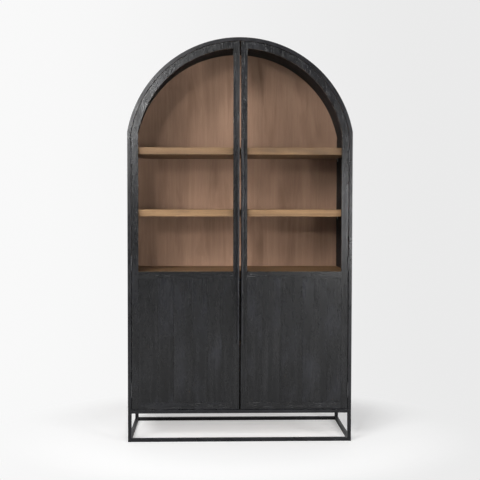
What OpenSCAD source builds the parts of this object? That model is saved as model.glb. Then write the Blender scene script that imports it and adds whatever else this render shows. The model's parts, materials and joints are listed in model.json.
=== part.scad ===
// Arched curio cabinet: a welded iron frame round a wooden carcass, with three
// shelves behind glass, a closed cupboard below and two full-height doors.
// Each door is a wooden frame with a glass pane above and glued boards below,
// hung on three butt hinges and held shut by a magnetic catch.
// Millimetres, +Z up, front towards -Y, origin on the floor under the middle.

/* [Overall] */
// Width over the iron frame
overall_w = 1220; // [1000:10:1500]
// Height to the top of the arch
overall_h = 2195; // [2150:5:2400]
// Depth over the iron frame, without the handles
overall_d = 450; // [350:10:600]

/* [Iron frame] */
// Side of the square tube
tube = 19; // [16:1:30]
// Wall of the square tube
tube_wall = 1.5; // [1:0.5:3]
// Outer corner radius of the square tube
tube_corner = 2; // [1:0.5:4]
// Height of the base's top above the floor
base_h = 175; // [100:5:260]
// How far the arch's radius exceeds half the width
arch_extra = 10; // [3:1:20]
// Length of the plug in the foot of each post
plug_len = 12; // [8:1:30]
// Thickness of the plates that carry the bottom panel
tab_t = 3; // [2:0.5:5]
// Width of those plates along the tube
tab_w = 40; // [25:5:80]
// How far those plates reach in under the panel
tab_reach = 30; // [20:5:60]

/* [Carcass] */
// Thickness of the side panels
side_t = 18; // [15:1:18]
// Thickness of the bent panel under the arch
arch_t = 15; // [12:1:17]
// Thickness of the back panel
back_t = 6; // [4:1:12]
// How far the back panel laps into the sides and the arch
back_lap = 8; // [5:1:10]
// How far the panels lie inside the tubes' outer faces
panel_inset = 1; // [0:0.5:2]
// Radius of the dowels that join the carcass
dowel_r = 3; // [2:0.5:3.5]
// Length of those dowels
dowel_len = 24; // [16:2:28]

/* [Shelves] */
// Thickness of each shelf
shelf_t = 38; // [20:1:45]
// Height of the fixed shelf's top above the floor
fixed_shelf_top = 931; // [850:5:1000]
// Distance from one shelf's top to the next above the fixed one
shelf_pitch = 337; // [250:1:345]
// Space between the doors' backs and the shelves' fronts
shelf_setback = 6; // [4:1:20]
// Gap at each end of a loose shelf
shelf_play = 1; // [0.5:0.5:3]
// Distance of the shelf pins from a shelf's front and back edges
pin_inset = 45; // [25:5:90]
// Radius of a shelf pin's peg
peg_r = 2.5; // [2:0.5:4]
// Length of the peg inside the side panel
peg_len = 10; // [6:1:12]
// Reach of a shelf pin's ledge under the shelf
ledge_reach = 14; // [10:1:25]
// Width of the ledge
ledge_w = 12; // [10:1:25]
// Height of the ledge's back plate
ledge_h = 18; // [14:1:30]
// Thickness of the ledge and its back plate
ledge_t = 2; // [1.5:0.5:4]

/* [Doors] */
// Thickness of the door frames
door_t = 22; // [18:1:30]
// Gap between a door and the iron frame
door_gap = 3; // [2.5:0.5:5]
// Gap between the two doors
meeting_gap = 8; // [3:1:10]
// Width of the stile on the hinge side
outer_stile_w = 36; // [30:1:60]
// Width of the stile where the doors meet
meeting_stile_w = 34; // [28:1:60]
// Width of the arched top rail
arch_rail_w = 36; // [30:1:60]
// Height of the middle and bottom rails
rail_w = 38; // [25:1:80]
// Thickness of the boards in the lower panel
board_t = 16; // [10:1:18]
// How far the boards lie behind the frame's face
board_inset = 1; // [0.5:0.5:3]
// Size of the bevel along each board's front edges
board_bevel = 0.4; // [0.2:0.2:2]
// Thickness of the boards' tongue
tongue_t = 6; // [4:1:8]
// How far the boards' tongue reaches into the frame
tongue_len = 6; // [4:1:8]
// Thickness of the rails' tenons
tenon_t = 8; // [6:1:10]
// How far the tenons reach into the stiles
tenon_len = 16; // [10:1:20]

/* [Glass] */
// Thickness of the glass
glass_t = 4; // [3:1:6]
// Thickness of the wooden lip in front of the glass
glass_lip = 8; // [5:1:10]
// How far the rebate reaches behind that lip
glass_lap = 8; // [6:1:12]
// Gap round the edge of the glass
glass_play = 0.8; // [0.2:0.2:2]
// Depth of the beads behind the glass
bead_t = 7; // [4:1:8]

/* [Handles] */
// Side of the square bar
handle_bar = 11; // [10:1:16]
// Radius of the bar's softened corners
handle_round = 4; // [1:0.5:4.5]
// How far the handle stands out from the door
handle_reach = 33; // [30:1:60]
// Length of the handle
handle_len = 1116; // [600:2:1160]
// How far the handle runs down below the fixed shelf's top
handle_drop = 395; // [200:5:500]
// Distance of the bar's centre from the door's meeting edge
handle_inset = 7; // [6:1:16]
// Radius of the handle screw
handle_screw_r = 2.5; // [2:0.5:3]

/* [Hinges] */
// Height of a hinge
hinge_h = 76; // [50:1:100]
// Radius of the hinge barrel
barrel_r = 3.5; // [3:0.25:6]
// Radius of the hinge pin
pin_r = 1.5; // [1:0.25:2]
// Depth of the hinge leaves from front to back
leaf_depth = 18; // [12:1:18]
// Height of the lowest hinge's middle above the base
low_hinge_up = 109; // [70:1:200]
// Height of the middle hinge's middle above the fixed shelf
middle_hinge_up = 46; // [0:2:100]
// Distance of the top hinge's middle below the spring of the arch
high_hinge_down = 138; // [70:2:200]

/* [Catch] */
// Width of the magnetic catch
catch_w = 60; // [58:1:80]
// Height of the catch's body
catch_h = 16; // [12:1:25]
// Depth of the catch's body
catch_d = 20; // [16:1:30]
// Thickness of the steel plates on the doors
plate_t = 1.5; // [1:0.5:2.5]
// Width of those plates
plate_w = 14; // [12:1:18]
// Height of those plates
plate_h = 36; // [30:1:60]

/* [Hidden] */
$fn = 64;
ARC_FN = 240;

IRON = [0.18, 0.18, 0.19];
BLACK_WOOD = [0.2, 0.2, 0.2];
WARM_WOOD = [0.66, 0.53, 0.39];
BACK_WOOD = [0.45, 0.35, 0.28];
GLASS = [0.85, 0.9, 0.9, 0.3];
STEEL = [0.55, 0.55, 0.56];
PLASTIC = [0.1, 0.1, 0.1];

OVERCUT = 1;                    // how far a cut runs past the face it opens
PLUG_PLAY = 0.1;                // gap round a post plug
BORE_PLAY = 0.06;               // radial gap of a running pin in its bore
HOLE_PLAY = 0.1;                // radial gap of a screw, peg or dowel in its hole
JOINT_PLAY = 0.15;              // gap round a tenon or a tongue
BACK_PLAY = 0.5;                // gap round the back panel's edges
BOARD_SEAM = 0.1;               // glue line between two boards
BARREL_OFF = 0.4;               // gap between the hinge barrels and the front face
KNUCKLES = 5;                   // knuckles on one hinge, shared by its two leaves
KNUCKLE_PLAY = 0.3;             // gap between two knuckles
LEAF_PLAY = 0.3;                // gap between the two closed leaves
PLATE_GAP = 1;                  // gap between the catch's body and the closed doors' plates
LEFT_BOARDS = [21, 16, 20, 16, 15, 12];    // board widths from the hinge side, in shares
RIGHT_BOARDS = [15, 26, 23, 20, 16];

half_w = overall_w / 2;
inner_x = half_w - tube;                    // inner faces of the posts and side panels
inner_y = overall_d - tube;                 // front faces of the rear posts
arch_r = half_w + arch_extra;
arch_z = overall_h - arch_r;                // height of the arch's centre
spring_z = arch_z + sqrt(arch_r * arch_r - half_w * half_w);

side_x = inner_x + side_t;                  // outer faces of the side panels
arch_panel_out = arch_r - panel_inset;
arch_panel_in = arch_panel_out - arch_t;
back_y = inner_y - back_t;                  // front face of the back panel
tab_z = base_h - tube;
bottom_t = tube - tab_t;

shelf_y = door_t + shelf_setback;
loose_back_y = back_y - shelf_play;
loose_x = inner_x - shelf_play;
middle_shelf_top = fixed_shelf_top + shelf_pitch;
upper_shelf_top = fixed_shelf_top + 2 * shelf_pitch;
lower_shelf_top = (base_h + fixed_shelf_top) / 2;
loose_tops = [lower_shelf_top, middle_shelf_top, upper_shelf_top];
pin_ys = [shelf_y + pin_inset, loose_back_y - pin_inset];

door_x = inner_x - door_gap;                // hinge edge of a door
meet_x = meeting_gap / 2;                   // meeting edge of a door
door_z = base_h + door_gap;
door_arch_r = arch_r - tube - door_gap;
door_spring_z = arch_z + sqrt(door_arch_r * door_arch_r - door_x * door_x);
sight_r = door_arch_r - arch_rail_w;        // inner edge of the arched rail
sight_x0 = meet_x + meeting_stile_w;
sight_x1 = door_x - outer_stile_w;
middle_rail_z = fixed_shelf_top - rail_w;
board_z = door_z + rail_w;
joint_y = board_inset + board_t / 2;        // middle of the tongues and tenons
tenon_shoulder = max(glass_lap, tongue_len) + 1;

handle_x = meet_x + handle_inset;
handle_z = fixed_shelf_top - handle_drop;
handle_screw_zs = [handle_z + handle_bar / 2, handle_z + handle_len - handle_bar / 2];
handle_head_r = 1.8 * handle_screw_r;       // flat head let into the stile's back
handle_head_t = 1.2 * handle_screw_r;
handle_grip = 12;                           // thread in the handle's foot

pin_x = inner_x - door_gap / 2;
pin_y = -barrel_r - BARREL_OFF;
leaf_t = (door_gap - LEAF_PLAY) / 2;
frame_leaf_x = inner_x - leaf_t;
knuckle_h = hinge_h / KNUCKLES;
hinge_zs = [base_h + low_hinge_up, fixed_shelf_top + middle_hinge_up, spring_z - high_hinge_down];
leaf_screw_dzs = [-hinge_h / 3, 0, hinge_h / 3];
small_screw_r = 1.6;
small_head_r = 3.2;
small_screw_len = 15;

magnet_w = 12;
magnet_t = 5;
magnet_len = 12;
magnet_out = 0.7;                           // how far a magnet stands out of the catch
catch_y = door_t + plate_t + PLATE_GAP;     // front of the catch's body
catch_top = fixed_shelf_top - shelf_t;
catch_mid_z = catch_top - catch_h / 2;
catch_screw_x = catch_w / 2 - 6;
catch_screw_y = catch_y + 12;
catch_grip = 14;                            // length of its screws inside the shelf
plate_x = meet_x + plate_w / 2 + 2;

panel_screw_r = 2;
panel_head_r = 4;
tab_screw_len = base_h - tab_z - 3;         // from under the plate up into the panel
back_screw_len = 25;
back_edge_x = inner_x + back_lap / 2;       // screw line along the side panels' rebates
back_edge_zs = [for (i = [0:4]) base_h + 60 + i * (spring_z - base_h - 120) / 4];
back_row_xs = [for (i = [-1.5:1:1.5]) i * inner_x / 1.8];
dowel_ys = [for (i = [0:2]) shelf_y + 50 + i * (back_y - shelf_y - 100) / 2];

// The frame's front face lies at y = 0 in the modules below; this moves the
// model so that the origin is under the middle of its whole depth.
module placed() translate([0, (handle_reach - overall_d) / 2, 0]) children();

// Draws a right-hand piece, or its mirror image on the left.
module on_side(side) mirror([side < 0 ? 1 : 0, 0, 0]) children();

// A block between two opposite corners.
module block(lo, hi) translate(lo) cube(hi - lo);

// A front-view outline given depth from y0 to y1.
module front_view(y0, y1) translate([0, y1, 0]) rotate([90, 0, 0]) linear_extrude(y1 - y0) children();

// A disc round the arch's centre, in front view.
module arch_disc(r) translate([0, arch_z]) circle(r, $fn = ARC_FN);

// The half plane above a height, in front view.
module above(z) translate([-overall_w, z]) square([2 * overall_w, overall_h]);

// A straight-sided outline closed by an arch, from z0 up.
module arched_outline(x, r, z0) {
  intersection() {
    translate([-x, z0]) square([2 * x, overall_h]);
    union() {
      arch_disc(r);
      translate([-x, z0]) square([2 * x, arch_z - z0]);
    }
  }
}

// ---- Iron frame ----

// A square with rounded corners, from its lowest corner.
module rounded_square(size, r) {
  translate([r, 0]) square([size - 2 * r, size]);
  translate([0, r]) square([size, size - 2 * r]);
  for (x = [r, size - r], y = [r, size - r]) translate([x, y]) circle(r);
}

module tube_section() {
  difference() {
    rounded_square(tube, tube_corner);
    translate([tube_wall, tube_wall]) square(tube - 2 * tube_wall);
  }
}

// Square tubes from their lowest corner, along each axis.
module tube_up(at, length) translate(at) linear_extrude(length) tube_section();
module tube_across(at, length) translate(at) rotate([90, 0, 90]) linear_extrude(length) tube_section();
module tube_back(at, length)
  translate(at + [0, length, 0]) rotate([90, 0, 0]) linear_extrude(length) tube_section();

module post_blank(y) tube_up([inner_x, y, 0], spring_z);

module front_post() {
  color(IRON) difference() {
    post_blank(0);
    at_hinges() at_leaf_screws(frame_leaf_x, 1) small_screw(HOLE_PLAY);
  }
}

module rear_post() color(IRON) post_blank(inner_y);

module arch_ring(r_out, r_in) {
  intersection() {
    difference() {
      arch_disc(r_out);
      arch_disc(r_in);
    }
    above(spring_z);
  }
}

module arch_tube(y) {
  color(IRON) difference() {
    front_view(y, y + tube) arch_ring(arch_r, arch_r - tube);
    front_view(y + tube_wall, y + tube - tube_wall)
      difference() {
        arch_disc(arch_r - tube_wall);
        arch_disc(arch_r - tube + tube_wall);
      }
  }
}

module cross_rail(y, z) color(IRON) tube_across([-inner_x, y, z], 2 * inner_x);
module side_rail(z) color(IRON) tube_back([inner_x, tube, z], inner_y - tube);

module post_plugs() {
  bore = tube - 2 * tube_wall;
  size = bore - 2 * PLUG_PLAY;
  color(PLASTIC)
    for (side = [-1, 1], y = [0, inner_y])
      on_side(side)
        translate([inner_x + tube_wall + PLUG_PLAY, y + tube_wall + PLUG_PLAY, 0])
          cube([size, size, plug_len]);
}

// Places for the six plates under the bottom panel: [x, y, turn], each at a
// tube's inner face and reaching inwards.
tab_places = [
  for (x = [-inner_x / 2, inner_x / 2]) [x, tube, 0],
  for (x = [-inner_x / 2, inner_x / 2]) [x, inner_y, 180],
  [inner_x, overall_d / 2, 90],
  [-inner_x, overall_d / 2, -90]
];

module at_tabs(z) for (p = tab_places) translate([p[0], p[1], z]) rotate([0, 0, p[2]]) children();

module panel_tabs() {
  color(IRON) at_tabs(tab_z)
    difference() {
      translate([-tab_w / 2, 0, 0]) cube([tab_w, tab_reach, tab_t]);
      at_tab_screw() panel_screw(tab_screw_len, HOLE_PLAY);
    }
}

// ---- Carcass ----

module side_panel() {
  color(BLACK_WOOD) difference() {
    block([inner_x, tube, base_h], [side_x, inner_y, spring_z]);
    block([inner_x - OVERCUT, back_y, base_h - OVERCUT],
          [inner_x + back_lap, inner_y + OVERCUT, spring_z + OVERCUT]);
    at_pins() peg(HOLE_PLAY);
    at_back_edge() panel_screw(back_screw_len, HOLE_PLAY);
    at_shelf_dowels() dowel(HOLE_PLAY);
    at_arch_dowels() dowel(HOLE_PLAY);
  }
}

module arch_panel() {
  color(BLACK_WOOD) difference() {
    front_view(tube, inner_y) arch_ring(arch_panel_out, arch_panel_in);
    front_view(back_y, inner_y + OVERCUT) arch_disc(arch_panel_in + back_lap);
    for (side = [-1, 1]) on_side(side) at_arch_dowels() dowel(HOLE_PLAY);
  }
}

// The back panel laps into the sides and the arch, and covers the bottom
// panel's rear edge.
module back_panel() {
  reach = back_lap - BACK_PLAY;
  foot_x = inner_x - BACK_PLAY;
  color(BACK_WOOD) difference() {
    front_view(back_y, inner_y) {
      arched_outline(inner_x + reach, arch_panel_in + reach, base_h);
      translate([-foot_x, base_h - bottom_t]) square([2 * foot_x, 2 * bottom_t]);
    }
    for (side = [-1, 1]) on_side(side) at_back_edge() panel_screw(back_screw_len, HOLE_PLAY);
    at_back_rows() panel_screw(back_screw_len, HOLE_PLAY);
  }
}

module bottom_panel() {
  color(WARM_WOOD) difference() {
    block([-inner_x, tube, base_h - bottom_t], [inner_x, back_y, base_h]);
    at_tabs(tab_z) at_tab_screw() panel_screw(tab_screw_len, HOLE_PLAY);
    at_back_rows() panel_screw(back_screw_len, HOLE_PLAY);
  }
}

// A flat-head screw pointing along +Z from its head's face.
module panel_screw(length, grow = 0) {
  if (grow > 0) translate([0, 0, -OVERCUT]) cylinder(r = panel_head_r + grow, h = OVERCUT);
  cylinder(r1 = panel_head_r + grow, r2 = panel_screw_r + grow, h = panel_head_r - panel_screw_r);
  cylinder(r = panel_screw_r + grow, h = length + grow);
}

module at_tab_screw() translate([0, tab_reach / 2, 0]) children();

// Screws through the back panel: into the right side panel, and in rows into
// the fixed shelf and the bottom panel.
module at_back_edge()
  for (z = back_edge_zs) translate([back_edge_x, inner_y, z]) rotate([90, 0, 0]) children();
module at_back_rows()
  for (x = back_row_xs, z = [base_h - bottom_t / 2, fixed_shelf_top - shelf_t / 2])
    translate([x, inner_y, z]) rotate([90, 0, 0]) children();

module panel_screws() {
  color(STEEL) {
    at_tabs(tab_z) at_tab_screw() panel_screw(tab_screw_len);
    for (side = [-1, 1]) on_side(side) at_back_edge() panel_screw(back_screw_len);
    at_back_rows() panel_screw(back_screw_len);
  }
}

// A dowel across a joint, centred on it along Z.
module dowel(grow = 0) cylinder(r = dowel_r + grow, h = dowel_len + 2 * grow, center = true);

// Dowels on the right: through the fixed shelf's end, and in the joint between
// the side panel and the arch.
module at_shelf_dowels()
  for (y = dowel_ys) translate([inner_x, y, fixed_shelf_top - shelf_t / 2]) rotate([0, 90, 0]) children();
module at_arch_dowels()
  for (y = dowel_ys) translate([(arch_panel_in + arch_panel_out) / 2 - arch_extra, y, spring_z]) children();

module dowels()
  color(WARM_WOOD) for (side = [-1, 1]) on_side(side) {
    at_shelf_dowels() dowel();
    at_arch_dowels() dowel();
  }

// ---- Shelves ----

module fixed_shelf() {
  color(WARM_WOOD) difference() {
    block([-inner_x, shelf_y, fixed_shelf_top - shelf_t], [inner_x, back_y, fixed_shelf_top]);
    at_catch_screws() catch_screw(HOLE_PLAY);
    at_back_rows() panel_screw(back_screw_len, HOLE_PLAY);
    for (side = [-1, 1]) on_side(side) at_shelf_dowels() dowel(HOLE_PLAY);
  }
}

module loose_shelf(top)
  color(WARM_WOOD) block([-loose_x, shelf_y, top - shelf_t], [loose_x, loose_back_y, top]);

// The right-hand pin places: the wall's face, right under each loose shelf.
module at_pins()
  for (top = loose_tops, y = pin_ys) translate([inner_x, y, top - shelf_t]) children();

// A shelf pin's peg, or with a margin the hole that takes it.
module peg(grow = 0) {
  start = grow > 0 ? -OVERCUT : 0;
  translate([start, 0, -ledge_h / 2]) rotate([0, 90, 0])
    cylinder(r = peg_r + grow, h = peg_len + grow - start);
}

module shelf_pins() {
  color(STEEL)
    for (side = [-1, 1]) on_side(side) at_pins() {
      peg();
      block([-ledge_t, -ledge_w / 2, -ledge_h], [0, ledge_w / 2, 0]);
      block([-ledge_reach, -ledge_w / 2, -ledge_t], [0, ledge_w / 2, 0]);
    }
}

// ---- Doors, drawn on the right ----

// The tenons at the rails' ends, from stile to stile, or with a margin their
// mortises.
module rail_tenons(grow = 0) {
  for (z = [door_z, middle_rail_z])
    block([sight_x0 - tenon_len - grow, joint_y - tenon_t / 2 - grow, z + tenon_shoulder - grow],
          [sight_x1 + tenon_len + grow, joint_y + tenon_t / 2 + grow, z + rail_w - tenon_shoulder + grow]);
}

// The tenon on the outer stile's top, or with a margin its mortise.
module arch_tenon(grow = 0) {
  mid_x = door_x - outer_stile_w / 2;
  reach_x = outer_stile_w / 4 + grow;
  reach_y = tenon_t / 2 + grow;
  block([mid_x - reach_x, joint_y - reach_y, door_spring_z - OVERCUT],
        [mid_x + reach_x, joint_y + reach_y, door_spring_z + tenon_len + grow]);
}

// The space that the boards' tongue takes, or with a margin its groove.
module tongue_space(x0, x1, grow = 0)
  block([x0 - grow, joint_y - tongue_t / 2 - grow, board_z - tongue_len - grow],
        [x1 + grow, joint_y + tongue_t / 2 + grow, middle_rail_z + tongue_len + grow]);

module boards_groove() tongue_space(sight_x0 - tongue_len, sight_x1 + tongue_len, JOINT_PLAY);

// The glazed opening, grown by a margin, in front view.
module sight_outline(grow = 0) {
  intersection() {
    arched_outline(sight_x1 + grow, sight_r + grow, fixed_shelf_top - grow);
    translate([sight_x0 - grow, 0]) square([overall_w, 2 * overall_h]);
  }
}

module glass_rebate() front_view(glass_lip, door_t + OVERCUT) sight_outline(glass_lap);

module outer_stile() {
  color(BLACK_WOOD) difference() {
    union() {
      block([sight_x1, 0, door_z], [door_x, door_t, door_spring_z]);
      arch_tenon();
    }
    glass_rebate();
    boards_groove();
    rail_tenons(JOINT_PLAY);
    at_hinges() at_leaf_screws(door_x + leaf_t, -1) small_screw(HOLE_PLAY);
  }
}

// The meeting stile ends in a mitre against the arched rail.
module meeting_outline() {
  polygon([
    [meet_x, door_z],
    [sight_x0, door_z],
    [sight_x0, arch_z + sqrt(sight_r * sight_r - sight_x0 * sight_x0)],
    [meet_x, arch_z + sqrt(door_arch_r * door_arch_r - meet_x * meet_x)]
  ]);
}

module meeting_stile() {
  color(BLACK_WOOD) difference() {
    front_view(0, door_t) meeting_outline();
    glass_rebate();
    boards_groove();
    rail_tenons(JOINT_PLAY);
    at_handle_screws() handle_screw(HOLE_PLAY);
    at_plate_screws() small_screw(HOLE_PLAY);
  }
}

module arched_rail() {
  color(BLACK_WOOD) difference() {
    front_view(0, door_t)
      difference() {
        intersection() {
          arch_disc(door_arch_r);
          translate([meet_x, door_spring_z]) square([overall_w, overall_h]);
        }
        arch_disc(sight_r);
        meeting_outline();
      }
    glass_rebate();
    arch_tenon(JOINT_PLAY);
  }
}

// A rail with its tenons, from its lower edge up.
module rail(z) {
  intersection() {
    union() {
      block([sight_x0, 0, z], [sight_x1, door_t, z + rail_w]);
      rail_tenons();
    }
    block([0, 0, z], [inner_x, door_t, z + rail_w]);
  }
}

module middle_rail() {
  color(BLACK_WOOD) difference() {
    rail(middle_rail_z);
    glass_rebate();
    boards_groove();
  }
}

module bottom_rail() {
  color(BLACK_WOOD) difference() {
    rail(door_z);
    boards_groove();
  }
}

// The sum of a list's first n numbers.
function sum_to(list, n) = n == 0 ? 0 : list[n - 1] + sum_to(list, n - 1);

// One board standing on its end, with its front edges bevelled.
module board(x0, x1) {
  bevel_y = board_inset + board_bevel;
  back = board_inset + board_t;
  translate([0, 0, board_z])
    linear_extrude(middle_rail_z - board_z)
      polygon([
        [x0, bevel_y], [x0 + board_bevel, board_inset], [x1 - board_bevel, board_inset],
        [x1, bevel_y], [x1, back], [x0, back]
      ]);
}

module lower_boards(shares) {
  count = len(shares);
  share = (sight_x1 - sight_x0) / sum_to(shares, count);
  seam = BOARD_SEAM / 2;
  color(BLACK_WOOD)
    for (i = [0:count - 1]) {
      x1 = sight_x1 - share * sum_to(shares, i) - (i > 0 ? seam : 0);
      x0 = sight_x1 - share * sum_to(shares, i + 1) + (i < count - 1 ? seam : 0);
      board(x0, x1);
      tongue_space(i < count - 1 ? x0 : x0 - tongue_len, i > 0 ? x1 : x1 + tongue_len);
    }
}

module glass()
  color(GLASS) front_view(glass_lip, glass_lip + glass_t) sight_outline(glass_lap - glass_play);

// Four beads behind the glass: along the rail, up both stiles and round the arch.
module glass_beads() {
  y0 = glass_lip + glass_t;
  low_z = fixed_shelf_top - glass_lap;
  module bead() {
    front_view(y0, y0 + bead_t)
      intersection() {
        difference() {
          sight_outline(glass_lap);
          sight_outline();
        }
        children();
      }
  }
  color(BLACK_WOOD) {
    bead() translate([0, low_z]) square([overall_w, glass_lap]);
    bead() translate([sight_x1, fixed_shelf_top]) square([overall_w, door_spring_z - fixed_shelf_top]);
    bead() translate([0, fixed_shelf_top]) square([sight_x0, overall_h]);
    bead() translate([sight_x0, door_spring_z]) square([overall_w, overall_h]);
  }
}

// ---- Handles ----

module at_handle_screws() for (z = handle_screw_zs) translate([handle_x, 0, z]) children();

// A screw from the stile's back into the handle's foot.
module handle_screw(grow = 0) {
  overcut = grow > 0 ? OVERCUT : 0;
  translate([0, door_t + overcut, 0]) rotate([90, 0, 0]) {
    cylinder(r = handle_head_r + grow, h = handle_head_t + overcut + grow);
    cylinder(r = handle_screw_r + grow, h = door_t + handle_grip + overcut + grow);
  }
}

// The bar's section, centred on its left-right middle, from its front edge back.
module handle_section() translate([-handle_bar / 2, 0]) rounded_square(handle_bar, handle_round);

module handle() {
  color(IRON) difference() {
    union() {
      translate([handle_x, -handle_reach, handle_z]) linear_extrude(handle_len) handle_section();
      for (z = handle_screw_zs)
        translate([handle_x, 0, z - handle_bar / 2]) rotate([90, 0, 0])
          linear_extrude(handle_reach - handle_bar / 2) handle_section();
    }
    at_handle_screws() handle_screw(HOLE_PLAY);
  }
}

module handle_screws() color(STEEL) at_handle_screws() handle_screw();

// ---- Hinges, drawn on the right ----

module at_hinges() for (z = hinge_zs) translate([0, 0, z]) children();

// Screw places on one leaf, from their heads' face, pointing out (1) or in (-1).
module at_leaf_screws(x, way)
  for (dz = leaf_screw_dzs) translate([x, leaf_depth / 2, dz]) rotate([0, 90 * way, 0]) children();

// A small flat-head screw pointing along +Z from its head's face.
module small_screw(grow = 0) {
  if (grow > 0) translate([0, 0, -OVERCUT]) cylinder(r = small_head_r + grow, h = OVERCUT);
  cylinder(r1 = small_head_r + grow, r2 = small_screw_r + grow, h = small_head_r - small_screw_r);
  cylinder(r = small_screw_r + grow, h = small_screw_len + grow);
}

// A hinge leaf with every second knuckle, from the first (0) or the second (1).
module leaf(first, x0, head_x, way) {
  difference() {
    union() {
      block([x0, 0, -hinge_h / 2 + KNUCKLE_PLAY / 2],
            [x0 + leaf_t, leaf_depth, hinge_h / 2 - KNUCKLE_PLAY / 2]);
      for (k = [first:2:KNUCKLES - 1]) {
        z0 = -hinge_h / 2 + k * knuckle_h + KNUCKLE_PLAY / 2;
        z1 = z0 + knuckle_h - KNUCKLE_PLAY;
        translate([pin_x, pin_y, z0]) cylinder(r = barrel_r, h = z1 - z0);
        block([x0, pin_y, z0], [x0 + leaf_t, leaf_depth, z1]);
      }
    }
    translate([pin_x, pin_y, -hinge_h]) cylinder(r = pin_r + BORE_PLAY, h = 2 * hinge_h);
    at_leaf_screws(head_x, way) small_screw(HOLE_PLAY);
  }
}

module hinge_frame_leaves()
  color(IRON) for (side = [-1, 1]) on_side(side) at_hinges() leaf(0, frame_leaf_x, frame_leaf_x, 1);

module door_hinge_leaves()
  color(IRON) at_hinges() leaf(1, door_x, door_x + leaf_t, -1);

module hinge_pins() {
  tip_r = (pin_r + barrel_r) / 2;
  tip_h = 1.5;
  color(IRON)
    for (side = [-1, 1]) on_side(side) at_hinges()
      translate([pin_x, pin_y, 0]) {
        cylinder(r = pin_r, h = hinge_h, center = true);
        for (end = [-1, 1]) translate([0, 0, end * (hinge_h + tip_h) / 2])
          cylinder(r = tip_r, h = tip_h, center = true);
      }
}

module hinge_frame_screws()
  color(IRON) for (side = [-1, 1]) on_side(side) at_hinges() at_leaf_screws(frame_leaf_x, 1) small_screw();

// The screws of the door's hinge leaves and of its catch plate.
module door_screws()
  color(IRON) {
    at_hinges() at_leaf_screws(door_x + leaf_t, -1) small_screw();
    at_plate_screws() small_screw();
  }

// ---- Magnetic catch under the fixed shelf ----

module at_catch_screws()
  for (x = [-catch_screw_x, catch_screw_x]) translate([x, catch_screw_y, catch_top - catch_h]) children();

// A round-head screw up through the catch into the shelf, its head let in.
module catch_screw(grow = 0) {
  start = grow > 0 ? -OVERCUT : 0;
  translate([0, 0, start]) {
    cylinder(r = small_head_r + grow, h = 2 - start);
    cylinder(r = small_screw_r + grow, h = catch_h + catch_grip + grow - start);
  }
}

module at_magnets() for (x = [-plate_x, plate_x]) translate([x, catch_y, catch_mid_z]) children();

module magnet(grow = 0)
  block([-magnet_w / 2 - grow, -magnet_out, -magnet_t / 2 - grow],
        [magnet_w / 2 + grow, magnet_len + grow, magnet_t / 2 + grow]);

module catch_body() {
  color(PLASTIC) difference() {
    block([-catch_w / 2, catch_y, catch_top - catch_h], [catch_w / 2, catch_y + catch_d, catch_top]);
    at_magnets() magnet(HOLE_PLAY);
    at_catch_screws() catch_screw(HOLE_PLAY);
  }
}

module catch_magnets() color(STEEL) at_magnets() magnet();

module catch_screws() color(STEEL) at_catch_screws() catch_screw();

module at_plate_screws()
  for (end = [-1, 1])
    translate([plate_x, door_t + plate_t, catch_mid_z + end * plate_h / 3]) rotate([90, 0, 0]) children();

module catch_plate() {
  color(STEEL) difference() {
    block([plate_x - plate_w / 2, door_t, catch_mid_z - plate_h / 2],
          [plate_x + plate_w / 2, door_t + plate_t, catch_mid_z + plate_h / 2]);
    at_plate_screws() small_screw(HOLE_PLAY);
  }
}

// ---- Nodes ----

placed() on_side(-1) front_post();  // front_left_post
placed() front_post();  // front_right_post
placed() on_side(-1) rear_post();  // rear_left_post
placed() rear_post();  // rear_right_post
placed() arch_tube(0);  // front_arch_tube
placed() arch_tube(inner_y);  // rear_arch_tube
placed() cross_rail(0, 0);  // front_foot_rail
placed() cross_rail(inner_y, 0);  // rear_foot_rail
placed() on_side(-1) side_rail(0);  // left_foot_rail
placed() side_rail(0);  // right_foot_rail
placed() cross_rail(0, tab_z);  // front_base_rail
placed() cross_rail(inner_y, tab_z);  // rear_base_rail
placed() on_side(-1) side_rail(tab_z);  // left_base_rail
placed() side_rail(tab_z);  // right_base_rail
placed() post_plugs();
placed() panel_tabs();
placed() panel_screws();
placed() dowels();
placed() on_side(-1) side_panel();  // left_side_panel
placed() side_panel();  // right_side_panel
placed() arch_panel();
placed() back_panel();
placed() bottom_panel();
placed() fixed_shelf();
placed() loose_shelf(middle_shelf_top);  // middle_shelf
placed() loose_shelf(upper_shelf_top);  // upper_shelf
placed() loose_shelf(lower_shelf_top);  // lower_shelf
placed() shelf_pins();
placed() hinge_frame_leaves();
placed() hinge_pins();
placed() hinge_frame_screws();
placed() catch_body();
placed() catch_magnets();
placed() catch_screws();
placed() on_side(-1) outer_stile();  // left_outer_stile
placed() on_side(-1) meeting_stile();  // left_meeting_stile
placed() on_side(-1) arched_rail();  // left_arched_rail
placed() on_side(-1) middle_rail();  // left_middle_rail
placed() on_side(-1) bottom_rail();  // left_bottom_rail
placed() on_side(-1) lower_boards(LEFT_BOARDS);  // left_lower_boards
placed() on_side(-1) glass();  // left_glass
placed() on_side(-1) glass_beads();  // left_glass_beads
placed() on_side(-1) handle();  // left_handle
placed() on_side(-1) handle_screws();  // left_handle_screws
placed() on_side(-1) door_hinge_leaves();  // left_hinge_leaves
placed() on_side(-1) door_screws();  // left_door_screws
placed() on_side(-1) catch_plate();  // left_catch_plate
placed() outer_stile();  // right_outer_stile
placed() meeting_stile();  // right_meeting_stile
placed() arched_rail();  // right_arched_rail
placed() middle_rail();  // right_middle_rail
placed() bottom_rail();  // right_bottom_rail
placed() lower_boards(RIGHT_BOARDS);  // right_lower_boards
placed() glass();  // right_glass
placed() glass_beads();  // right_glass_beads
placed() handle();  // right_handle
placed() handle_screws();  // right_handle_screws
placed() door_hinge_leaves();  // right_hinge_leaves
placed() door_screws();  // right_door_screws
placed() catch_plate();  // right_catch_plate
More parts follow.
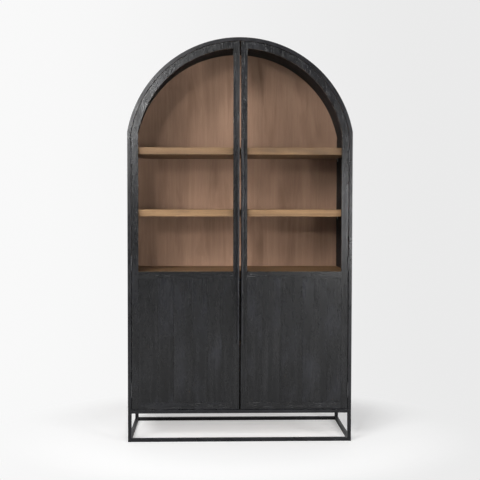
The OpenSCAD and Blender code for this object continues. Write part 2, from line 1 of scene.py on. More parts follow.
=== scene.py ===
import json
import math

import bpy
from mathutils import Matrix, Vector

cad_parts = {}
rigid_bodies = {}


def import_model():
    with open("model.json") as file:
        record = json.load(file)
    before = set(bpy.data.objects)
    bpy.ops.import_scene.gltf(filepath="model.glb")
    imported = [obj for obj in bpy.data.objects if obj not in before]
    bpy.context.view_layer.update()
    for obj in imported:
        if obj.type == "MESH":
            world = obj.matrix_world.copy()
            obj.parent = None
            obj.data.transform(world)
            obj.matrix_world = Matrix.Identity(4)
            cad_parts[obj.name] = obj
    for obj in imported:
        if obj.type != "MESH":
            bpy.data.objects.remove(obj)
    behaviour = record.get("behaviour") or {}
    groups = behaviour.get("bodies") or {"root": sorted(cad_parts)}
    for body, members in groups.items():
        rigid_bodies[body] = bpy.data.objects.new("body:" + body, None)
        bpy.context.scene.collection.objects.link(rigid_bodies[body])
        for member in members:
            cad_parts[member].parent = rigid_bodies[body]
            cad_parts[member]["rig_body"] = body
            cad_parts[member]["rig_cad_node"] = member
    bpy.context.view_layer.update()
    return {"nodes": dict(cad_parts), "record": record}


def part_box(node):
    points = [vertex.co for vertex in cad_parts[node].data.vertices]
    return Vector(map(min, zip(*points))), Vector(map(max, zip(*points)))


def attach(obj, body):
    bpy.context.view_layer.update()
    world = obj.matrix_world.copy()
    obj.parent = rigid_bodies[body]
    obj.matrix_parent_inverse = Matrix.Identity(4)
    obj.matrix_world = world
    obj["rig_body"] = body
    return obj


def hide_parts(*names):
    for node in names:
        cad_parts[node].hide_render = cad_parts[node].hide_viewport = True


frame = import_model()
nodes = frame["nodes"]
print("frame loaded:", len(nodes), "nodes")

# places that several pieces share, all read from the frame
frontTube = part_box("front_arch_tube")
frontY = frontTube[0].y  # front faces of the posts, the arch and the doors
halfWidth = frontTube[1].x
springZ = frontTube[0].z  # where the posts end and the arch begins
topZ = frontTube[1].z
archRise = topZ - springZ
archRadius = (halfWidth ** 2 + archRise ** 2) / (2 * archRise)
archZ = topZ - archRadius  # height of the arch's centre


# selecting, easing and marking pieces

mergeDistance = 0.00001
smoothAngle = math.radians(28)  # eased edges are smoothed, square ones are not


def pickOnly(piece):
    bpy.ops.object.select_all(action="DESELECT")
    piece.select_set(True)
    bpy.context.view_layer.objects.active = piece


def pickEdges(piece, test):
    # selects the vertices that pass a test on their place, and the edges between them
    bpy.ops.object.mode_set(mode="OBJECT")
    mesh = piece.data
    for face in mesh.polygons:
        face.select = False
    for vertex in mesh.vertices:
        vertex.select = test(vertex.co)
    for edge in mesh.edges:
        edge.select = all(mesh.vertices[i].select for i in edge.vertices)
    bpy.ops.object.mode_set(mode="EDIT")
    bpy.ops.mesh.select_mode(type="EDGE")


def mergeLoose(piece, flatAngle=0.4):
    pickOnly(piece)
    bpy.ops.object.mode_set(mode="EDIT")
    bpy.ops.mesh.select_all(action="SELECT")
    bpy.ops.mesh.remove_doubles(threshold=mergeDistance)
    bpy.ops.mesh.dissolve_limited(angle_limit=math.radians(flatAngle))
    bpy.ops.object.mode_set(mode="OBJECT")


def easeEdges(piece, width, segments=2, angle=35):
    pickOnly(piece)
    bpy.ops.object.modifier_add(type="BEVEL")
    bevel = piece.modifiers[-1]
    bevel.width = width
    bevel.segments = segments
    bevel.limit_method = "ANGLE"
    bevel.angle_limit = math.radians(angle)
    bevel.harden_normals = True  # the flats stay flat, only the eased edges turn
    bpy.ops.object.shade_smooth_by_angle(angle=smoothAngle)
    bpy.ops.object.modifier_apply(modifier=bevel.name)


def markPiece(piece, shift, tone=0.0):
    # gives a piece its own stretch of grain and its own shade
    for name, value in (("grainShift", shift), ("pieceTone", tone)):
        layer = piece.data.attributes.new(name, "FLOAT", "POINT")
        layer.data.foreach_set("value", [value] * len(piece.data.vertices))


def setMaterial(piece, material):
    piece.data.materials.clear()
    piece.data.materials.append(material)


def copyOfNode(nodeName, pieceName):
    source = nodes[nodeName]
    piece = source.copy()
    piece.data = source.data.copy()
    piece.name = pieceName
    bpy.context.scene.collection.objects.link(piece)
    piece.parent = None
    del piece["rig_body"]
    del piece["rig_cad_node"]
    mergeLoose(piece)
    return piece


def bodyOf(nodeName):
    bodies = frame["record"]["behaviour"]["bodies"]
    return next(body for body, names in bodies.items() if nodeName in names)


def seat(piece, nodeName):
    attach(piece, bodyOf(nodeName))
    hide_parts(nodeName)


# shader building blocks

def newGroup(name, inputs, outputs):
    tree = bpy.data.node_groups.new(name, "ShaderNodeTree")
    for label, kind, value in inputs:
        socket = tree.interface.new_socket(label, in_out="INPUT", socket_type=kind)
        if value is not None:
            socket.default_value = value
    for label, kind in outputs:
        tree.interface.new_socket(label, in_out="OUTPUT", socket_type=kind)
    return tree, tree.nodes.new("NodeGroupInput"), tree.nodes.new("NodeGroupOutput")


def plug(tree, socket, value):
    if isinstance(value, bpy.types.NodeSocket):
        tree.links.new(value, socket)
    else:
        socket.default_value = value


def maths(tree, operation, first, second=0.0, clamp=False):
    node = tree.nodes.new("ShaderNodeMath")
    node.operation = operation
    node.use_clamp = clamp
    plug(tree, node.inputs[0], first)
    plug(tree, node.inputs[1], second)
    return node.outputs[0]


def vectorMaths(tree, operation, first, second):
    node = tree.nodes.new("ShaderNodeVectorMath")
    node.operation = operation
    plug(tree, node.inputs[0], first)
    plug(tree, node.inputs[1], second)
    return node.outputs[0]


def scaleColour(tree, colour, factor):
    node = tree.nodes.new("ShaderNodeVectorMath")
    node.operation = "SCALE"
    plug(tree, node.inputs[0], colour)
    plug(tree, node.inputs["Scale"], factor)
    return node.outputs[0]


def shiftedPlaces(tree, given, factors):
    # moves the pattern by the piece's own shift, so that no two pieces share a stretch of grain
    away = tree.nodes.new("ShaderNodeCombineXYZ")
    for axis, factor in enumerate(factors):
        plug(tree, away.inputs[axis], maths(tree, "MULTIPLY", given.outputs["Shift"], factor))
    return vectorMaths(tree, "ADD", given.outputs["Vector"], away.outputs[0])


def stretched(tree, places, along):
    # drawn out along the grain, which runs on X
    return vectorMaths(tree, "MULTIPLY", places, (along, 1.0, 1.0))


def noise(tree, vector, scale, detail=3.0, roughness=0.55, distortion=0.0):
    node = tree.nodes.new("ShaderNodeTexNoise")
    plug(tree, node.inputs["Vector"], vector)
    plug(tree, node.inputs["Scale"], scale)
    node.inputs["Detail"].default_value = detail
    node.inputs["Roughness"].default_value = roughness
    node.inputs["Distortion"].default_value = distortion
    return node.outputs["Fac"]


def spread(tree, value, low, high, toLow=0.0, toHigh=1.0):
    node = tree.nodes.new("ShaderNodeMapRange")
    node.interpolation_type = "SMOOTHSTEP"
    given = {"Value": value, "From Min": low, "From Max": high, "To Min": toLow, "To Max": toHigh}
    for label, number in given.items():
        plug(tree, node.inputs[label], number)
    return node.outputs["Result"]


def blendColours(tree, factor, first, second):
    node = tree.nodes.new("ShaderNodeMix")
    node.data_type = "RGBA"
    plug(tree, node.inputs["Factor"], factor)
    plug(tree, node.inputs[6], first)
    plug(tree, node.inputs[7], second)
    return node.outputs[2]


def attribute(tree, name):
    node = tree.nodes.new("ShaderNodeAttribute")
    node.attribute_name = name
    return node.outputs["Fac"]


def groupNode(tree, group, **values):
    node = tree.nodes.new("ShaderNodeGroup")
    node.node_tree = group
    for label, value in values.items():
        plug(tree, node.inputs[label], value)
    return node


def bumpNormal(tree, height, strength, distance):
    node = tree.nodes.new("ShaderNodeBump")
    node.inputs["Strength"].default_value = strength
    node.inputs["Distance"].default_value = distance
    plug(tree, node.inputs["Height"], height)
    return node.outputs["Normal"]


def makeWoodGrain():
    # the grain runs along the vector's X; Figure is broad, Streaks are fine, Pores are short ticks
    tree, given, out = newGroup(
        "woodGrain",
        [("Vector", "NodeSocketVector", None), ("Shift", "NodeSocketFloat", 0.0),
         ("FigureScale", "NodeSocketFloat", 7.0), ("StreakScale", "NodeSocketFloat", 55.0),
         ("PoreScale", "NodeSocketFloat", 420.0)],
        [("Figure", "NodeSocketFloat"), ("Streaks", "NodeSocketFloat"),
         ("Pores", "NodeSocketFloat"), ("Height", "NodeSocketFloat")],
    )
    moved = shiftedPlaces(tree, given, (3.17, 7.31, 5.13))
    slow = stretched(tree, moved, 0.22)
    wander = maths(tree, "SUBTRACT", noise(tree, slow, 4.0, 2.0), 0.5)
    bend = tree.nodes.new("ShaderNodeCombineXYZ")
    plug(tree, bend.inputs[1], maths(tree, "MULTIPLY", wander, 0.035))
    plug(tree, bend.inputs[2], maths(tree, "MULTIPLY", wander, 0.02))
    bent = vectorMaths(tree, "ADD", moved, bend.outputs[0])
    figure = noise(tree, stretched(tree, bent, 0.16), given.outputs["FigureScale"], 4.0, 0.6, 0.8)
    streaks = noise(tree, stretched(tree, bent, 0.035), given.outputs["StreakScale"], 5.0, 0.65)
    ticks = noise(tree, stretched(tree, bent, 0.03), given.outputs["PoreScale"], 2.0, 0.5)
    pores = spread(tree, ticks, 0.58, 0.70)
    height = maths(tree, "SUBTRACT", maths(tree, "MULTIPLY", streaks, 0.6),
                   maths(tree, "MULTIPLY", pores, 0.8))
    plug(tree, out.inputs["Figure"], figure)
    plug(tree, out.inputs["Streaks"], streaks)
    plug(tree, out.inputs["Pores"], pores)
    plug(tree, out.inputs["Height"], height)
    return tree


def makeCloudyStainAndSheen():
    # Haze is pale patches, partly where the stain was wiped thin and partly a painted sheen; Mottle the fine
    # unevenness of the coat
    tree, given, out = newGroup(
        "cloudyStainAndSheen",
        [("Vector", "NodeSocketVector", None), ("Shift", "NodeSocketFloat", 0.0),
         ("PatchScale", "NodeSocketFloat", 5.5), ("Amount", "NodeSocketFloat", 0.75)],
        [("Haze", "NodeSocketFloat"), ("Mottle", "NodeSocketFloat")],
    )
    moved = shiftedPlaces(tree, given, (5.7, 2.9, 4.3))
    broad = noise(tree, stretched(tree, moved, 0.45), given.outputs["PatchScale"], 4.0, 0.6, 0.4)
    smudge = noise(tree, stretched(tree, moved, 0.6), 38.0, 4.0, 0.62, 0.6)
    fine = noise(tree, stretched(tree, moved, 0.35), 130.0, 3.0, 0.6)
    patches = maths(tree, "MULTIPLY", spread(tree, broad, 0.46, 0.70),
                    spread(tree, smudge, 0.34, 0.66, 0.35, 1.0))
    mottle = maths(tree, "ADD", maths(tree, "MULTIPLY", smudge, 0.5), maths(tree, "MULTIPLY", fine, 0.5))
    plug(tree, out.inputs["Haze"], maths(tree, "MULTIPLY", patches, given.outputs["Amount"], clamp=True))
    plug(tree, out.inputs["Mottle"], mottle)
    return tree


def makeEdgeWearAndHighlight():
    # rubbed edges and a painted edge highlight: a lighter colour where a face turns between the front and a
    # side, broken up by noise
    tree, given, out = newGroup(
        "edgeWearAndHighlight",
        [("Vector", "NodeSocketVector", None), ("Scale", "NodeSocketFloat", 30.0),
         ("Amount", "NodeSocketFloat", 0.6)],
        [("Worn", "NodeSocketFloat")],
    )
    coords = tree.nodes.new("ShaderNodeTexCoord")
    parts = tree.nodes.new("ShaderNodeSeparateXYZ")
    plug(tree, parts.inputs[0], coords.outputs["Normal"])
    sideways = maths(tree, "SQRT", maths(
        tree, "ADD",
        maths(tree, "MULTIPLY", parts.outputs[0], parts.outputs[0]),
        maths(tree, "MULTIPLY", parts.outputs[2], parts.outputs[2])))
    facing = maths(tree, "MAXIMUM", sideways, maths(tree, "ABSOLUTE", parts.outputs[1]))
    onEdge = spread(tree, facing, 0.97, 0.85)
    patches = spread(tree, noise(tree, given.outputs["Vector"], given.outputs["Scale"], 4.0, 0.6), 0.38, 0.68)
    broken = maths(tree, "MULTIPLY", onEdge, patches)
    wornAndHighlight = maths(tree, "MULTIPLY", broken, given.outputs["Amount"], clamp=True)
    plug(tree, out.inputs["Worn"], wornAndHighlight)
    return tree


def makeArchCoords():
    # turns places round the arch into a straight plank's: along the arc, across it, into the depth
    tree, given, out = newGroup(
        "archCoords",
        [("Vector", "NodeSocketVector", None), ("CentreHeight", "NodeSocketFloat", 1.5)],
        [("Vector", "NodeSocketVector")],
    )
    parts = tree.nodes.new("ShaderNodeSeparateXYZ")
    plug(tree, parts.inputs[0], given.outputs["Vector"])
    rise = maths(tree, "SUBTRACT", parts.outputs[2], given.outputs["CentreHeight"])
    radius = maths(tree, "SQRT", maths(
        tree, "ADD",
        maths(tree, "MULTIPLY", parts.outputs[0], parts.outputs[0]),
        maths(tree, "MULTIPLY", rise, rise)))
    turn = maths(tree, "ARCTAN2", parts.outputs[0], rise)
    joined = tree.nodes.new("ShaderNodeCombineXYZ")
    plug(tree, joined.inputs[0], maths(tree, "MULTIPLY", turn, 0.6))
    plug(tree, joined.inputs[1], radius)
    plug(tree, joined.inputs[2], parts.outputs[1])
    plug(tree, out.inputs["Vector"], joined.outputs[0])
    return tree


woodGrain = makeWoodGrain()
cloudyStainAndSheen = makeCloudyStainAndSheen()
edgeWearAndHighlight = makeEdgeWearAndHighlight()
archCoords = makeArchCoords()


def newMaterial(name):
    material = bpy.data.materials.new(name)
    material.use_nodes = True
    return material, material.node_tree, material.node_tree.nodes["Principled BSDF"]


def objectPlaces(tree):
    return tree.nodes.new("ShaderNodeTexCoord").outputs["Object"]


def turnedPlaces(tree, run):
    # lays the vector's X along the grain: upright, across, or round the arch
    places = objectPlaces(tree)
    if run == "arch":
        return groupNode(tree, archCoords, Vector=places, CentreHeight=archZ).outputs[0]
    if run == "across":
        return places
    turn = tree.nodes.new("ShaderNodeMapping")
    turn.vector_type = "POINT"
    turn.inputs["Rotation"].default_value = (0.0, math.radians(90), 0.0)
    plug(tree, turn.inputs["Vector"], places)
    return turn.outputs[0]


blackStain = {
    "dark": (0.0030, 0.0031, 0.0037, 1),
    "light": (0.0120, 0.0120, 0.0130, 1),
    "figure": (0.0075, 0.0072, 0.0072, 1),
    # pale bluish grey for the haze patches, partly thin stain and partly a painted sheen
    "hazy": (0.0200, 0.0208, 0.0255, 1),
    "pore": (0.0025, 0.0025, 0.0025, 1),
    # the lighter edge colour: partly rubbed wear, partly a painted highlight on the eased edges
    "rubbedAndHighlight": (0.055, 0.050, 0.046, 1),
    "satin": (0.21, 0.36),
    "dull": (0.62, 0.78),
}


def makeBlackWood(name, run, gloss="satin", shine=0.36):
    material, tree, shader = newMaterial(name)
    places = turnedPlaces(tree, run)
    shift = attribute(tree, "grainShift")
    grain = groupNode(tree, woodGrain, Vector=places, Shift=shift, FigureScale=9.0)
    haze = groupNode(tree, cloudyStainAndSheen, Vector=places, Shift=shift)
    wearAndHighlight = groupNode(tree, edgeWearAndHighlight, Vector=places, Scale=26.0, Amount=0.5)
    streaked = blendColours(tree, spread(tree, grain.outputs["Streaks"], 0.38, 0.74),
                            blackStain["dark"], blackStain["light"])
    figured = blendColours(tree, spread(tree, grain.outputs["Figure"], 0.5, 0.75, 0.0, 0.5),
                           streaked, blackStain["figure"])
    # pale patches, partly thin stain and partly a painted sheen of the satin coat
    hazed = blendColours(tree, haze.outputs["Haze"], figured, blackStain["hazy"])
    pored = blendColours(tree, maths(tree, "MULTIPLY", grain.outputs["Pores"], 0.6), hazed,
                         blackStain["pore"])
    toned = scaleColour(tree, pored, maths(tree, "ADD", 1.0, attribute(tree, "pieceTone")))
    # lighter eased edges, partly rubbed wear and partly a painted edge highlight
    rubbedAndHighlight = blendColours(tree, wearAndHighlight.outputs["Worn"], toned, blackStain["rubbedAndHighlight"])
    plug(tree, shader.inputs["Base Color"], rubbedAndHighlight)
    low, high = blackStain[gloss]
    sheen = maths(tree, "ADD", maths(tree, "MULTIPLY", grain.outputs["Streaks"], 0.5),
                  maths(tree, "MULTIPLY", haze.outputs["Mottle"], 0.5))
    plug(tree, shader.inputs["Roughness"], spread(tree, sheen, 0.35, 0.65, high, low))
    shader.inputs["Specular IOR Level"].default_value = shine
    height = maths(tree, "ADD", grain.outputs["Height"],
                   maths(tree, "MULTIPLY", haze.outputs["Mottle"], 1.1))
    plug(tree, shader.inputs["Normal"], bumpNormal(tree, height, 0.6, 0.0009))
    return material


naturalWood = {
    "shelf": {
        "pale": (0.270, 0.150, 0.068, 1), "mid": (0.180, 0.096, 0.042, 1), "deep": (0.080, 0.042, 0.019, 1),
        "roughness": (0.45, 0.6), "shine": 0.35,
    },
    "back": {
        "pale": (0.330, 0.200, 0.138, 1), "mid": (0.285, 0.169, 0.115, 1), "deep": (0.215, 0.123, 0.081, 1),
        "roughness": (0.7, 0.85), "shine": 0.12,
    },
}


def makeNaturalWood(name, run, tones, figureScale):
    material, tree, shader = newMaterial(name)
    places = turnedPlaces(tree, run)
    grain = groupNode(tree, woodGrain, Vector=places, Shift=attribute(tree, "grainShift"),
                      FigureScale=figureScale)
    base = blendColours(tree, spread(tree, grain.outputs["Streaks"], 0.35, 0.7),
                        tones["mid"], tones["pale"])
    figured = blendColours(tree, spread(tree, grain.outputs["Figure"], 0.48, 0.72, 0.0, 0.75),
                           base, tones["deep"])
    toned = scaleColour(tree, figured, maths(tree, "ADD", 1.0, attribute(tree, "pieceTone")))
    pored = blendColours(tree, maths(tree, "MULTIPLY", grain.outputs["Pores"], 0.5), toned, tones["deep"])
    plug(tree, shader.inputs["Base Color"], pored)
    low, high = tones["roughness"]
    plug(tree, shader.inputs["Roughness"], spread(tree, grain.outputs["Streaks"], 0.3, 0.8, high, low))
    shader.inputs["Specular IOR Level"].default_value = tones["shine"]
    plug(tree, shader.inputs["Normal"], bumpNormal(tree, grain.outputs["Height"], 0.3, 0.0005))
    return material


ironPaint = {
    "base": (0.0050, 0.0050, 0.0064, 1),
    "cloudy": (0.0110, 0.0110, 0.0135, 1),
    # the lighter edge colour: partly rubbed wear, partly a painted highlight on the tube's rounds
    "rubbedAndHighlight": (0.065, 0.065, 0.07, 1),
    "roughness": (0.26, 0.38),
    "shine": 0.36,
}


def makeIron(name="blackIron"):
    material, tree, shader = newMaterial(name)
    places = objectPlaces(tree)
    clouds = noise(tree, places, 14.0, 4.0, 0.6)
    grit = noise(tree, places, 900.0, 2.0, 0.5)
    wearAndHighlight = groupNode(tree, edgeWearAndHighlight, Vector=places, Scale=40.0, Amount=0.5)
    paint = blendColours(tree, spread(tree, clouds, 0.35, 0.7), ironPaint["base"], ironPaint["cloudy"])
    # lighter rounds on the tube, partly rubbed wear and partly a painted edge highlight
    rubbedAndHighlight = blendColours(tree, wearAndHighlight.outputs["Worn"], paint, ironPaint["rubbedAndHighlight"])
    plug(tree, shader.inputs["Base Color"], rubbedAndHighlight)
    low, high = ironPaint["roughness"]
    plug(tree, shader.inputs["Roughness"], spread(tree, clouds, 0.3, 0.7, low, high))
    plug(tree, shader.inputs["Normal"], bumpNormal(tree, grit, 0.12, 0.0003))
    shader.inputs["Specular IOR Level"].default_value = ironPaint["shine"]
    return material


def makeSteel(name, colour, low, high, metallic=1.0):
    material, tree, shader = newMaterial(name)
    places = objectPlaces(tree)
    clouds = noise(tree, places, 120.0, 4.0, 0.6)
    plug(tree, shader.inputs["Base Color"],
         blendColours(tree, clouds, tuple(c * 0.8 for c in colour[:3]) + (1,), colour))
    plug(tree, shader.inputs["Roughness"], spread(tree, clouds, 0.3, 0.7, low, high))
    shader.inputs["Metallic"].default_value = metallic
    plug(tree, shader.inputs["Normal"], bumpNormal(tree, noise(tree, places, 1500.0, 2.0), 0.08, 0.0002))
    return material


def makeGlass(name="clearGlass"):
    # lamps' rays and bounced light pass straight through, so that the shelves behind are lit
    material, tree, shader = newMaterial(name)
    shader.inputs["Base Color"].default_value = (0.93, 0.96, 0.95, 1)
    shader.inputs["Roughness"].default_value = 0.0
    shader.inputs["IOR"].default_value = 1.45
    shader.inputs["Transmission Weight"].default_value = 1.0
    shader.inputs["Specular IOR Level"].default_value = 0.3
    clear = tree.nodes.new("ShaderNodeBsdfTransparent")
    rays = tree.nodes.new("ShaderNodeLightPath")
    mix = tree.nodes.new("ShaderNodeMixShader")
    passing = maths(tree, "MAXIMUM", rays.outputs["Is Shadow Ray"], rays.outputs["Is Diffuse Ray"])
    plug(tree, mix.inputs[0], passing)
    plug(tree, mix.inputs[1], shader.outputs[0])
    plug(tree, mix.inputs[2], clear.outputs[0])
    plug(tree, tree.nodes["Material Output"].inputs["Surface"], mix.outputs[0])
    return material


blackUpright = makeBlackWood("blackWoodUpright", "upright")
blackAcross = makeBlackWood("blackWoodAcross", "across")
dullUpright = makeBlackWood("blackCarcassUpright", "upright", "dull", 0.2)
dullArch = makeBlackWood("blackCarcassArch", "arch", "dull", 0.2)
shelfWood = makeNaturalWood("tanShelfWood", "across", naturalWood["shelf"], 8.0)
backWood = makeNaturalWood("brownBackWood", "upright", naturalWood["back"], 11.0)
blackIron = makeIron()
hingeSteel = makeSteel("blackHingeSteel", (0.03, 0.03, 0.033, 1), 0.35, 0.5, 0.0)
zincSteel = makeSteel("zincSteel", (0.55, 0.55, 0.56, 1), 0.28, 0.45)
blackPlastic = makeSteel("blackPlastic", (0.025, 0.025, 0.025, 1), 0.45, 0.6, 0.0)
clearGlass = makeGlass()
print("materials made")

slotMaterials = {
    "black_iron": blackIron,
    "black_hinge_steel": hingeSteel,
    "black_stained_wood": blackUpright,
    "tan_shelf_wood": shelfWood,
    "brown_back_wood": backWood,
    "clear_glass": clearGlass,
    "zinc_steel": zincSteel,
    "black_plastic": blackPlastic,
}
for part in frame["record"]["subparts"]:
    setMaterial(nodes[part["node"]], slotMaterials[part["material_slot"]])
setMaterial(nodes["arch_panel"], dullArch)


# straight timber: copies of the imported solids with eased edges

# for each node: the piece's name, its material, the easing, its stretch of grain and its shade
timber = {
    "left_outer_stile": ("leftOuterStile", blackUpright, 0.0012, 0.3, 0.05),
    "right_outer_stile": ("rightOuterStile", blackUpright, 0.0012, 1.1, 0.12),
    "left_meeting_stile": ("leftMeetingStile", blackUpright, 0.0012, 1.9, 0.0),
    "right_meeting_stile": ("rightMeetingStile", blackUpright, 0.0012, 2.7, 0.2),
    "left_middle_rail": ("leftMiddleRail", blackAcross, 0.0012, 3.1, -0.05),
    "right_middle_rail": ("rightMiddleRail", blackAcross, 0.0012, 3.9, 0.05),
    "left_bottom_rail": ("leftBottomRail", blackAcross, 0.0012, 4.3, -0.1),
    "right_bottom_rail": ("rightBottomRail", blackAcross, 0.0012, 4.9, 0.05),
    "left_side_panel": ("leftSidePanel", dullUpright, 0.0008, 5.3, 0.0),
    "right_side_panel": ("rightSidePanel", dullUpright, 0.0008, 6.1, 0.0),
    "back_panel": ("backPanel", backWood, 0.0005, 6.7, 0.0),
    "bottom_panel": ("bottomPanel", shelfWood, 0.0008, 7.3, -0.1),
    "fixed_shelf": ("fixedShelf", shelfWood, 0.0018, 7.9, 0.0),
    "lower_shelf": ("lowerShelf", shelfWood, 0.0018, 8.7, -0.05),
    "middle_shelf": ("middleShelf", shelfWood, 0.0018, 9.3, 0.05),
    "upper_shelf": ("upperShelf", shelfWood, 0.0018, 10.1, -0.18),
}

for nodeName, (pieceName, material, width, shift, tone) in timber.items():
    piece = copyOfNode(nodeName, pieceName)
    easeEdges(piece, width)
    setMaterial(piece, material)
    markPiece(piece, shift, tone)
    seat(piece, nodeName)
print("straight timber eased:", len(timber))


# straight iron: the same, with the small round that drawn tube has

iron = {
    "ease": 0.0012,
    "tubes": [side + "_" + place for side in ("front", "rear", "left", "right")
              for place in ("foot_rail", "base_rail")]
             + [end + "_" + side + "_post" for end in ("front", "rear") for side in ("left", "right")],
}

for nodeName in iron["tubes"]:
    words = nodeName.split("_")
    piece = copyOfNode(nodeName, words[0] + "".join(word.capitalize() for word in words[1:]))
    easeEdges(piece, iron["ease"])
    setMaterial(piece, blackIron)
    seat(piece, nodeName)
print("straight iron eased:", len(iron["tubes"]))


# the upright boards of the lower panels, each a piece of its own

boardEase = 0.0003
firstGrain, nextGrain = 11.3, 1.7  # where each board's stretch of grain starts, and the step between boards
boards = {
    "left_lower_boards": ("leftBoard", (0.10, -0.10, 0.05, -0.18, 0.12, -0.05)),
    "right_lower_boards": ("rightBoard", (0.0, 0.22, -0.12, 0.15, -0.05)),
}

for nodeName, (boardName, tones) in boards.items():
    whole = copyOfNode(nodeName, boardName)
    pickOnly(whole)
    bpy.ops.object.mode_set(mode="EDIT")
    bpy.ops.mesh.select_all(action="SELECT")
    bpy.ops.mesh.separate(type="LOOSE")
    bpy.ops.object.mode_set(mode="OBJECT")
    parts = sorted(bpy.context.selected_objects, key=lambda part: part.data.vertices[0].co.x)
    for number, part in enumerate(parts, 1):
        part.name = boardName + str(number)
        easeEdges(part, boardEase, 1)
        setMaterial(part, blackUpright)
        markPiece(part, firstGrain + nextGrain * number + len(nodeName), tones[(number - 1) % len(tones)])
        seat(part, nodeName)
print("boards separated")


studio = {
    "floorWidth": 16.0,
    "frontReach": 8.0,
    "wallDistance": 1.5,
    "wallHeight": 7.0,
    "sweepRadius": 0.7,
    "sweepSegments": 24,
    "paper": (0.80, 0.80, 0.80),
    # paleLeft and paleRight are a painted light falloff across the paper: lighter on the left, darker on the
    # right
    "paleLeft": 0.945,
    "paleRight": 0.825,
    "paintedFalloffAcross": 1.7,  # half the width over which left fades to right
    # floorGlow is a painted glow on the floor near the cabinet, on top of its lamplight, which lightens the
    # shadows there
    "floorGlow": 0.40,  # what the floor near the cabinet shows beyond its lamplight
    "nearFade": (0.62, 1.05),
    "dimRoom": 0.02,
    "rearRoom": 0.5,
}

lamps = {
    "leftLamp": {"at": (-3.0, -3.6, 3.2), "size": 1.4, "watts": 80},
    "highLamp": {"at": (-2.2, -4.3, 3.5), "size": 1.4, "watts": 95},
    "rightLamp": {"at": (3.2, -3.4, 1.5), "size": 1.4, "watts": 105},
    "leftGloss": {"at": (-1.35, -5.0, 2.5), "size": 0.5, "watts": 72},
    "rightGloss": {"at": (1.68, -5.0, 1.15), "size": 0.4, "watts": 38},
}
lampAim = (0.0, 0.0, 1.1)

cameraFit = {
    "at": (-0.17267, -4.2787, 1.28242),  # measured from the front plane
    "yaw": 1.413,
    "pitch": -1.853,
    "roll": -0.0804,
    "lens": 59.266,
    "sensor": 36.0,
    "shift": (0.0252, -0.0158),
}


def seenDirectly(tree):
    # 1 for the camera's own rays, also through the glass, and 0 for light that bounced off a surface first
    rays = tree.nodes.new("ShaderNodeLightPath")
    unscattered = maths(tree, "MULTIPLY", maths(tree, "LESS_THAN", rays.outputs["Diffuse Depth"], 0.5),
                        maths(tree, "LESS_THAN", rays.outputs["Glossy Depth"], 0.5))
    through = maths(tree, "MULTIPLY", rays.outputs["Is Transmission Ray"], unscattered)
    return maths(tree, "MAXIMUM", rays.outputs["Is Camera Ray"], through)


def paperMaterial():
    # lamplight near the cabinet, then a pale paper that only the camera sees, with a painted light falloff:
    # lighter on the left, darker on the right
    paper, tree, shader = newMaterial("paper")
    shader.inputs["Base Color"].default_value = (*studio["paper"], 1)
    shader.inputs["Roughness"].default_value = 0.9
    shader.inputs["Specular IOR Level"].default_value = 0.1
    parts = tree.nodes.new("ShaderNodeSeparateXYZ")
    plug(tree, parts.inputs[0], objectPlaces(tree))
    x, y = parts.outputs[0], parts.outputs[1]
    across = studio["paintedFalloffAcross"]
    # painted light falloff across the paper, lighter on the left and darker on the right
    pale = spread(tree, x, -across, across, studio["paleLeft"], studio["paleRight"])
    sideways = maths(tree, "MULTIPLY", maths(tree, "MULTIPLY", x, x), 0.55)  # the lit patch is wider than deep
    away = maths(tree, "SQRT", maths(tree, "ADD", sideways, maths(tree, "MULTIPLY", y, y)))
    far = spread(tree, away, *studio["nearFade"])
    paintedFalloffPaper = tree.nodes.new("ShaderNodeEmission")
    plug(tree, paintedFalloffPaper.inputs["Strength"], pale)
    # painted glow on the near floor that lifts its shadows
    glow = tree.nodes.new("ShaderNodeEmission")
    plug(tree, glow.inputs["Strength"], maths(tree, "MULTIPLY", pale, studio["floorGlow"]))
    lit = tree.nodes.new("ShaderNodeAddShader")
    plug(tree, lit.inputs[0], shader.outputs[0])
    plug(tree, lit.inputs[1], glow.outputs[0])
    seenPaper = tree.nodes.new("ShaderNodeMixShader")
    plug(tree, seenPaper.inputs[0], far)
    plug(tree, seenPaper.inputs[1], lit.outputs[0])
    plug(tree, seenPaper.inputs[2], paintedFalloffPaper.outputs[0])
    forCamera = seenDirectly(tree)
    shown = tree.nodes.new("ShaderNodeMixShader")
    plug(tree, shown.inputs[0], forCamera)
    plug(tree, shown.inputs[1], shader.outputs[0])
    plug(tree, shown.inputs[2], seenPaper.outputs[0])
    return paper, tree, shown, forCamera


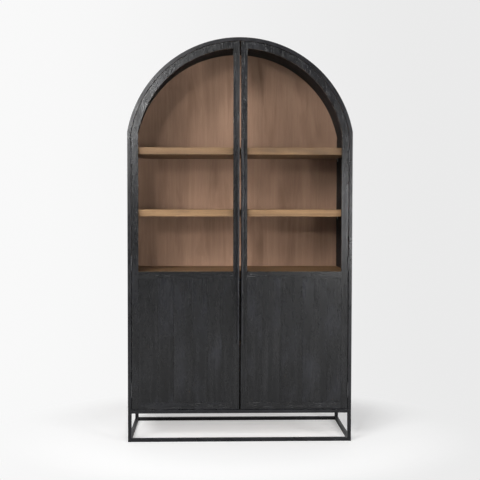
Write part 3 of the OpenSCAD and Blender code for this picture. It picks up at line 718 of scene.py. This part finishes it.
def makeBackdrop():
    paper, tree, shown, forCamera = paperMaterial()
    plug(tree, tree.nodes["Material Output"].inputs["Surface"], shown.outputs[0])
    bpy.ops.mesh.primitive_plane_add(size=1, location=(0, 0, 0))
    floor = bpy.context.object
    floor.name = "floor"
    floor.data.transform(Matrix.Diagonal((studio["floorWidth"], 2 * studio["frontReach"], 1, 1)))
    setMaterial(floor, paper)

    # the wall shows only from the front and to the camera, so it hides nothing and shades nothing
    sheet, tree, shown, forCamera = paperMaterial()
    sides = tree.nodes.new("ShaderNodeNewGeometry")
    front = maths(tree, "MULTIPLY", forCamera, maths(tree, "SUBTRACT", 1.0, sides.outputs["Backfacing"]))
    through = tree.nodes.new("ShaderNodeBsdfTransparent")
    mix = tree.nodes.new("ShaderNodeMixShader")
    plug(tree, mix.inputs[0], front)
    plug(tree, mix.inputs[1], through.outputs[0])
    plug(tree, mix.inputs[2], shown.outputs[0])
    plug(tree, tree.nodes["Material Output"].inputs["Surface"], mix.outputs[0])
    bpy.ops.mesh.primitive_plane_add(size=1, location=(0, 0, 0))
    wall = bpy.context.object
    wall.name = "wall"
    deep = 1.0
    wall.data.transform(Matrix.Translation((0, studio["wallDistance"] - deep / 2, 0.0005))
                        @ Matrix.Diagonal((studio["floorWidth"], deep, 1, 1)))
    pickOnly(wall)
    pickEdges(wall, lambda co: co.y > studio["wallDistance"] - 0.001)
    bpy.ops.mesh.extrude_region_move(TRANSFORM_OT_translate={"value": (0, 0, studio["wallHeight"])})
    pickEdges(wall, lambda co: co.y > studio["wallDistance"] - 0.001 and co.z < 0.001)
    bpy.ops.mesh.bevel(offset=studio["sweepRadius"], segments=studio["sweepSegments"])
    bpy.ops.object.mode_set(mode="OBJECT")
    bpy.ops.object.shade_smooth()
    setMaterial(wall, sheet)


def makeLamps():
    for name, lamp in lamps.items():
        bpy.ops.object.light_add(type="AREA", location=lamp["at"])
        light = bpy.context.object
        light.name = name
        light.data.shape = "SQUARE"
        light.data.size = lamp["size"]
        light.data.energy = lamp["watts"]
        aim = Vector(lampAim) - Vector(lamp["at"])
        light.rotation_euler = aim.to_track_quat("-Z", "Y").to_euler()
    world = bpy.data.worlds.new("studioWorld")
    world.use_nodes = True
    tree = world.node_tree
    seen = seenDirectly(tree)
    parts = tree.nodes.new("ShaderNodeSeparateXYZ")
    plug(tree, parts.inputs[0], tree.nodes.new("ShaderNodeTexCoord").outputs["Generated"])
    room = spread(tree, parts.outputs[1], -0.1, 0.6, studio["dimRoom"], studio["rearRoom"])
    pale = (studio["paleLeft"] + studio["paleRight"]) / 2
    plug(tree, tree.nodes["Background"].inputs["Strength"], spread(tree, seen, 0.0, 1.0, room, pale))
    tree.nodes["Background"].inputs["Color"].default_value = (1, 1, 1, 1)
    bpy.context.scene.world = world


def makeCamera():
    x, y, z = cameraFit["at"]
    bpy.ops.object.camera_add(
        location=(x, frontY + y, z),
        rotation=(
            math.radians(90 + cameraFit["pitch"]),
            math.radians(cameraFit["roll"]),
            math.radians(-cameraFit["yaw"]),
        ),
    )
    camera = bpy.context.object
    camera.data.lens = cameraFit["lens"]
    camera.data.sensor_width = cameraFit["sensor"]
    camera.data.shift_x, camera.data.shift_y = cameraFit["shift"]
    bpy.context.scene.camera = camera


makeBackdrop()
makeLamps()
makeCamera()
bpy.context.scene.view_settings.view_transform = "Standard"
print("studio set")
